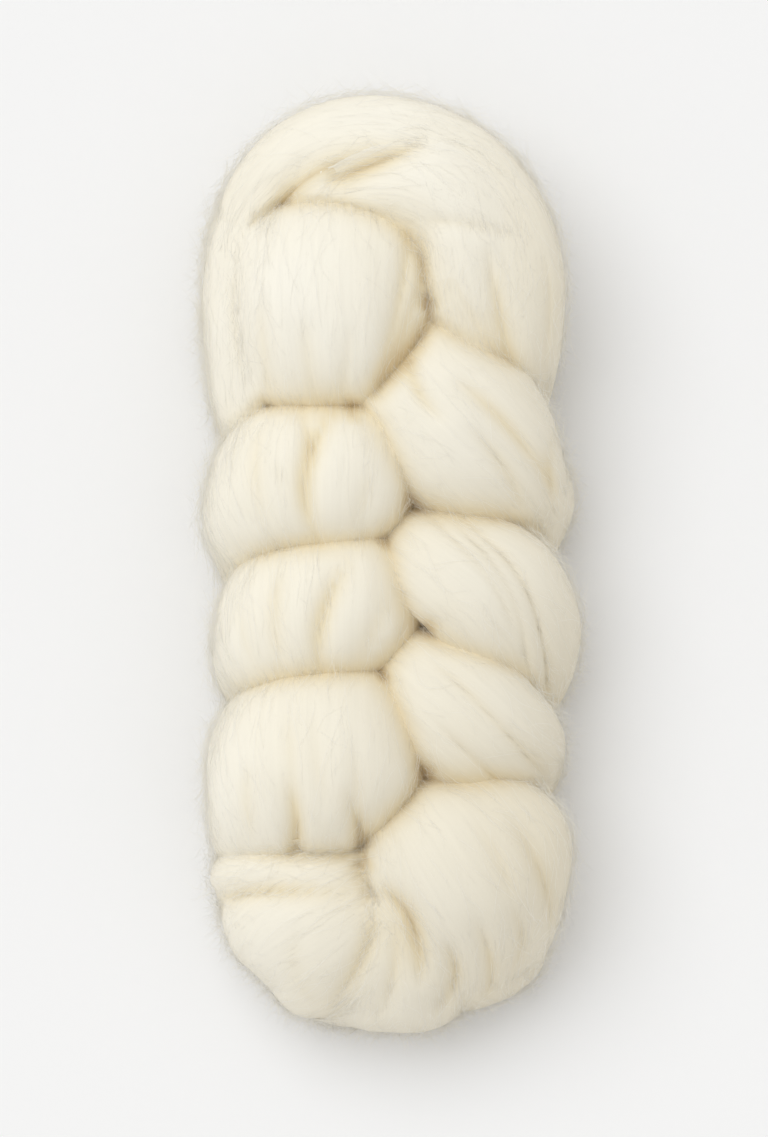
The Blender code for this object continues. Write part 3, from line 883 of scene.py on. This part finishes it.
def layers(wools):
    """Each bundle's height over each square of the ground, and the lowest corner of this map."""
    everything = np.concatenate([wool.points.reshape(-1, 3) for wool in wools])
    corner = everything[:, :2].min(axis=0) - MAP_MARGIN
    size = ((everything[:, :2].max(axis=0) + MAP_MARGIN - corner) / MAP_CELL).astype(int) + 1
    heights = np.zeros((len(wools), *size))
    for height, wool in zip(heights, wools):
        rings, sides = wool.points.shape[:2]
        ring = np.linspace(0, rings - 1, rings * FINER_RINGS)[:, None]
        side = np.arange(sides * FINER_SIDES)[None] / FINER_SIDES
        fine = sample(wool.points, *np.broadcast_arrays(ring, side))
        place = ((fine[..., :2] - corner) / MAP_CELL).astype(int)
        np.maximum.at(height, (place[..., 0], place[..., 1]), fine[..., 2])
    return heights, corner


def blurred(field, reach):
    """A map averaged with a bell curve of that reach, in squares, along X and then Y."""
    for axis in (0, 1):
        place = np.arange(field.shape[axis])
        bell = np.exp(-((place[:, None] - place[None]) / reach)**2 / 2)
        bell /= bell.sum(axis=1, keepdims=True)
        field = np.moveaxis(np.tensordot(bell, field, axes=(1, axis)), 0, axis)
    return field


def nearest_marked(marked):
    """For each square of a map, the distance to the nearest marked square, and that one's place."""
    row, column = (np.arange(size) for size in marked.shape)
    across = np.where(marked[:, None], (column[:, None] - column[None])**2, FAR)
    in_row, nearest = across.min(axis=2), across.argmin(axis=2)
    total = ((row[:, None] - row[None])**2)[..., None] + in_row[None]
    nearest_row = total.argmin(axis=1)
    return np.sqrt(total.min(axis=1)) * MAP_CELL, nearest_row, nearest[nearest_row, column[None]]


def on_map(field, points, corner):
    """A map's values under the points, joined straight between the middles of its squares."""
    place = (points[..., :2] - corner) / MAP_CELL - 0.5
    low = np.floor(place).astype(int)
    x, y = low[..., 0], low[..., 1]
    t, s = place[..., 0] - x, place[..., 1] - y
    return ((1 - t) * ((1 - s) * field[x, y] + s * field[x, y + 1])
            + t * ((1 - s) * field[x + 1, y] + s * field[x + 1, y + 1]))


def pair_table(names, values, usual):
    """A table of a value for every two bundles, the usual one where the pair isn't named."""
    table = np.full((len(names), len(names)), float(usual))
    for (one, other), value in values.items():
        table[names.index(one), names.index(other)] = value
        table[names.index(other), names.index(one)] = value
    return table


def seams(heights, weights):
    """Where two bundles that show meet: a map of marks, of their pairs' weights, and of the pairs.

    A pair counts less where one bundle stands over the other, so that they meet out of sight: by
    2 minus their step in height over the step that starts to hide a seam, from 0 to 1.
    """
    top, level = heights.argmax(axis=0), heights.max(axis=0)
    weight, beside = np.zeros(level.shape), top.copy()
    for axis in (0, 1):
        other, other_level = np.roll(top, -1, axis), np.roll(level, -1, axis)
        meet = (top != other) & (level > 0) & (other_level > 0) & (weights[top, other] > 0)
        step = np.clip(2 - np.abs(level - other_level) / SEAM_STEP, 0, 1)
        weight = np.where(meet, step * weights[top, other], weight)
        beside = np.where(meet, other, beside)
    return beside != top, weight, np.stack([top, beside])


def seam_valleys(heights, names, corner):
    """Maps of the valleys at the seams and pits, mm, of the painted shade there, and of the way to a
    seam, mm.

    A seam's valley is its pair's weight times its edge's depth, rounded to its edge's reach, and
    its painted shade is a falling exponential of the distance.  A pit adds a bell curve to each.
    """
    weights = pair_table(names, {**PAIR_WEIGHTS, **dict.fromkeys(JOINS, 0)}, 1)
    marked, weight, pair = seams(heights, weights)
    distance, row, column = nearest_marked(marked)
    weight, pair = weight[row, column], pair[:, row, column]
    rank = np.array([STACKING.index(name) if name in STACKING else -1 for name in names])
    topmost = heights.argmax(axis=0)
    other = np.where(topmost == pair[0], pair[1], pair[0])
    dives = rank[topmost] < rank[other]
    edge = Edge(*(np.where(dives, diving, upper) for diving, upper in zip(DIVING_EDGE, UPPER_EDGE)))
    valley = weight * edge.depth * rounded_valley(distance, edge.reach)
    # painted shade along the seams, falling off with the distance from them
    tint = weight * edge.tint * np.exp(-distance / edge.tint_reach)
    valley, tint = blurred(valley, SEAM_BLUR / MAP_CELL), blurred(tint, SEAM_BLUR / MAP_CELL)
    x, y = (low + MAP_CELL * (np.arange(size) + 0.5) for low, size in zip(corner, topmost.shape))
    for pit in PITS:
        away = np.hypot((x - pit.x)[:, None], (y - pit.y)[None])
        valley += pit.depth * np.exp(-(away / pit.radius)**2)
        # painted shade round each pit
        tint += np.exp(-(away / (PIT_SHADE_REACH * pit.radius))**2)
    return valley, tint, distance


def shared_skin(heights, names, seam_distance):
    """Maps of the braid's smoothed height, and of how far joined bundles take it as their own.

    That share is 1 where they meet, fades out at its reach by a soft step, and by others close
    to another seam and to the outline of the braid.
    """
    meeting = seams(heights, pair_table(names, dict.fromkeys(JOINS, 1), 0))[0]
    distance = nearest_marked(meeting)[0]
    level = heights.max(axis=0)
    inside = blurred(1.0 * (level > 0), SKIN_BLUR / MAP_CELL)
    skin = blurred(level, SKIN_BLUR / MAP_CELL) / np.maximum(inside, TINY)
    return skin, (soft_step(2 - 2 * distance / JOIN_REACH) * soft_step(seam_distance / JOIN_CLEAR)
                  * soft_step(2 * inside - 1))


Maps = namedtuple("Maps", "corner level crowd valley tint skin skin_share")


def braid_maps(wools):
    """The maps of the braid, seen from above, to which each bundle is finished."""
    names = [wool.name for wool in wools]
    heights, corner = layers(wools)
    level = heights.max(axis=0)
    valley, tint, distance = seam_valleys(heights, names, corner)
    crowd = blurred(level, HOLLOW_REACH / MAP_CELL)
    return Maps(corner, level, crowd, valley, tint, *shared_skin(heights, names, distance))


def crease_relief(points):
    """Depth of the creases at the points, mm, seen from above.

    A crease follows the quadratic curve through its three places.  Its depth grows from nothing
    at both ends as a half wave to a power, and falls off aside as the square of 1 minus the
    distance over its reach.
    """
    relief = np.zeros(points.shape[:-1])
    t = np.linspace(0, 1, CREASE_STEPS + 1)[:, None]
    for crease in CREASES:
        start, middle, end = np.array(crease[:6], float).reshape(3, 2)
        line = start * (1 - t) * (1 - 2 * t) + middle * 4 * t * (1 - t) + end * t * (2 * t - 1)
        box_low, box_high = line.min(axis=0) - crease.reach, line.max(axis=0) + crease.reach
        near = ((points[..., :2] > box_low) & (points[..., :2] < box_high)).all(axis=-1)
        place = points[near][:, None, :2] - line[:-1]
        step = line[1:] - line[:-1]
        share = np.clip((place * step).sum(axis=-1) / (step**2).sum(axis=-1), 0, 1)
        distance = np.linalg.norm(place - share[..., None] * step, axis=-1)
        nearest = distance.argmin(axis=1)
        pick = np.arange(len(nearest)), nearest
        along = (nearest + share[pick]) / CREASE_STEPS
        relief[near] += (crease.depth * np.sin(np.pi * np.clip(along, 0, 1))**CREASE_FADE
                         * (1 - np.clip(distance[pick] / crease.reach, 0, 1))**2)
    return relief


def settle(wool, maps):
    """Finishes one bundle among the others: its place in their skin, its valleys, and its painted shade.

    What lies near the top of the braid is drawn to the shared skin, and lowered by the valleys
    and creases.  The painted shade adds up how far the wool lies under the braid's averaged height,
    the painted shade at the seams and pits, the folds and the steep sides.  Its rim is what looks aside,
    clear of seams.
    """
    def under_points(field):
        """A map's values under the bundle's points."""
        return on_map(field, wool.points, maps.corner)

    under_top = under_points(maps.level) - wool.points[..., 2]
    near_top = np.clip(2 - under_top / UNDER_TOP, 0, 1)
    if any(wool.name in join for join in JOINS):
        faces_up = np.clip(SKIN_FACING * face_normals(wool.points)[..., 2], 0, 1)
        skin = under_points(maps.skin) - COVERED_SHARE * under_top
        pull = near_top * faces_up * under_points(maps.skin_share)
        wool.points[..., 2] += pull * (skin - wool.points[..., 2])
    creases = near_top * crease_relief(wool.points)
    wool.sink(near_top * under_points(maps.valley) + creases)

    facing = wool.normals[..., 2]
    faces_up = np.clip(facing * FACING_SLOPE + FACING_START, 0, 1)
    sunk = under_points(maps.crowd) - wool.points[..., 2]
    # painted shade at the seams and pits, on faces that look up
    seam = under_points(maps.tint) * near_top * faces_up
    # painted shade on the steep sides
    steep = np.clip((STEEP_START - facing) / STEEP_RANGE, 0, 1)
    # painted shade where the wool lies under the braid's averaged height
    hollow = near_top * faces_up * np.clip(sunk / PAINTED_SHADE_DEPTH, 0, 1) + seam
    # painted shade in the folds and creases
    hollow += FOLD_SHARE * np.clip(wool.fold + (creases / DEEP_FOLD)**FOLD_SHADE_POWER, 0, 1)
    # the painted shade, with less of it on the bundles under the braid
    wool.hollow = wool.painted_shade_share * np.clip(hollow + STEEP_SHADE_SHARE * steep, 0, 1)
    wool.rim = np.clip((RIM_START - facing) / RIM_RANGE, 0, 1) * (1 - np.clip(2 * seam, 0, 1))


# ---- the fibres ----

def outer_faces(wools):
    """For each bundle, which points lie on the outside of the braid, seen from above or a side."""
    everything = np.concatenate([wool.points.reshape(-1, 3) for wool in wools])
    outside = [np.zeros(wool.points.shape[:2], bool) for wool in wools]
    for view in OUTSIDE_VIEWS:
        toward = np.array(view, float) / np.linalg.norm(view)
        aside = np.cross(toward, (1, 0, 0) if abs(toward[1]) > END_ON else (0, 1, 0))
        aside /= np.linalg.norm(aside)
        turned = everything @ np.stack([aside, np.cross(toward, aside), toward], axis=1)
        place = ((turned[:, :2] - turned[:, :2].min(axis=0)) / OUTSIDE_CELL).astype(int)
        nearest = np.full(place.max(axis=0) + 1, -np.inf)
        np.maximum.at(nearest, (place[:, 0], place[:, 1]), turned[:, 2])
        seen = turned[:, 2] > nearest[place[:, 0], place[:, 1]] - OUTSIDE_SLACK
        first = 0
        for mask, wool in zip(outside, wools):
            faces = (wool.normals @ toward) > OUTSIDE_FACING
            mask |= seen[first:first + mask.size].reshape(mask.shape) & faces
            first += mask.size
    return outside


def fibre_weight(wool, outside, style):
    """How many fibres start at each point: its area on the outside, less of it off the rims."""
    return wool.stretch * wool.width * outside * (wool.rim + style.on_top * (1 - wool.rim))


def fibre_lines(wool, outside, count, style, rng):
    """Fibres on one bundle, as lines of points, and the wool's normals along them.

    Each starts at a random place on the outside, runs along the strand by its length while it
    drifts aside, bows in a half wave, and stands off the surface by its lift plus its rise times
    the share of its length, squared.
    """
    rings, sides = wool.points.shape[:2]
    weight = fibre_weight(wool, outside, style).ravel()
    start = rng.choice(weight.size, count, p=weight / weight.sum())
    ring = start // sides + rng.uniform(0, 1, count)
    side = start % sides + rng.uniform(0, 1, count)
    length = rng.uniform(style.shortest, style.longest, count) * rng.choice([-1, 1], count)
    t = np.linspace(0, 1, style.knots)[None]
    ring_now = ring[:, None] + length[:, None] * t / (wool.along[-1] / (rings - 1))
    drift = rng.normal(0, style.drift, count)
    bow = rng.normal(0, style.bow, count)
    aside = drift[:, None] * t + bow[:, None] * np.sin(np.pi * t)
    width = np.maximum(wool.width.ravel()[start], LEAST_WIDTH)
    side_now = side[:, None] + aside / width[:, None]
    lift = rng.uniform(style.low, style.high, count)
    rise = style.rise * np.minimum(np.abs(rng.normal(0, 1, count)), RISE_LIMIT)
    up = sample(wool.normals, ring_now, side_now)
    up /= np.maximum(np.linalg.norm(up, axis=2, keepdims=True), TINY)
    off = lift[:, None] + rise[:, None] * t**2
    lines = sample(wool.points, ring_now, side_now) + off[..., None] * up
    lines[..., 2] = np.maximum(lines[..., 2], FIBRE_GROUND)
    return lines, up


def lay_fibres(name, wools, outside, style, material, seed):
    """One piece of fibres over all the bundles, each bundle's share by its outer area."""
    rng = np.random.default_rng(seed)
    areas = np.array([fibre_weight(w, o, style).sum() for w, o in zip(wools, outside)])
    counts = np.round(style.count * areas / areas.sum()).astype(int)
    parts = [fibre_lines(w, o, n, style, rng) for w, o, n in zip(wools, outside, counts) if n > 0]
    lines = np.concatenate([part[0] for part in parts])
    normals = np.concatenate([part[1] for part in parts])
    return fibre_piece(name, lines, normals, style.radius, material)


# ---- the braid ----

def braid_wools():
    """Every bundle of the braid: those that show, and then those under them."""
    shown = {**START_LOOP, **LEFT_LEGS, **RIGHT_LEGS, **END_LOOP}
    under = {**CORE, **{"head_%d" % number: head_bundle(head) for number, head in enumerate(HEADS)}}
    return ([Wool(name, bundle, True, SEED_STEP * number)
             for number, (name, bundle) in enumerate(shown.items())]
            + [Wool(name, bundle, False, SEED_STEP * number + HIDDEN_SEED)
               for number, (name, bundle) in enumerate(under.items())])


wools = braid_wools()
maps = braid_maps(wools)
for wool in wools:
    settle(wool, maps)

combed_wool = wool_finish()
for wool in wools:
    piece = bundle_piece(wool, combed_wool)
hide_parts("roving_braid")

wool_fibre = plain_finish("wool_fibre", FIBRE_SURFACE)
outside = outer_faces(wools)
for number, (name, style) in enumerate(STYLES.items()):
    lay_fibres(name, wools, outside, style, wool_fibre, FIBRE_SEED + number)


# ---- floor, light and camera ----

def studio_floor():
    """A plain pale floor under the braid."""
    mesh = bpy.data.meshes.new("floor")
    corners = [(-FLOOR_HALF, -FLOOR_HALF, FLOOR_Z), (FLOOR_HALF, -FLOOR_HALF, FLOOR_Z),
               (FLOOR_HALF, FLOOR_HALF, FLOOR_Z), (-FLOOR_HALF, FLOOR_HALF, FLOOR_Z)]
    mesh.from_pydata(corners, [], [(0, 1, 2, 3)])
    mesh.materials.append(plain_finish("pale_floor", FLOOR_SURFACE))
    floor = bpy.data.objects.new("floor", mesh)
    bpy.context.scene.collection.objects.link(floor)


def key_light():
    """An even light from one direction, as wide in the sky as its spread."""
    light = bpy.data.lights.new("key", "SUN")
    light.energy = KEY_POWER
    light.color = KEY_COLOUR
    light.angle = np.radians(KEY_SPREAD)
    lamp = bpy.data.objects.new("key", light)
    lamp.rotation_euler = (-Vector(KEY_FROM)).to_track_quat("-Z", "Y").to_euler()
    bpy.context.scene.collection.objects.link(lamp)


def pale_sky():
    """An even, slightly warm light from all round."""
    world = bpy.data.worlds.new("studio")
    world.use_nodes = True
    background = world.node_tree.nodes["Background"]
    background.inputs["Color"].default_value = SKY_COLOUR
    background.inputs["Strength"].default_value = SKY
    bpy.context.scene.world = world


def overhead_camera():
    """A long lens straight above the braid, upright along +Y."""
    data = bpy.data.cameras.new("camera")
    data.sensor_fit = "VERTICAL"
    data.sensor_height = SENSOR
    data.lens = SENSOR * CAMERA_HEIGHT / (VIEW_LENGTH * MM)
    data.clip_end = CAMERA_REACH
    camera = bpy.data.objects.new("camera", data)
    camera.location = (VIEW_CENTRE[0] * MM, VIEW_CENTRE[1] * MM, CAMERA_HEIGHT + MID_HEIGHT * MM)
    bpy.context.scene.collection.objects.link(camera)
    bpy.context.scene.camera = camera


studio_floor()
key_light()
pale_sky()
overhead_camera()
bpy.context.scene.view_settings.view_transform = "Standard"
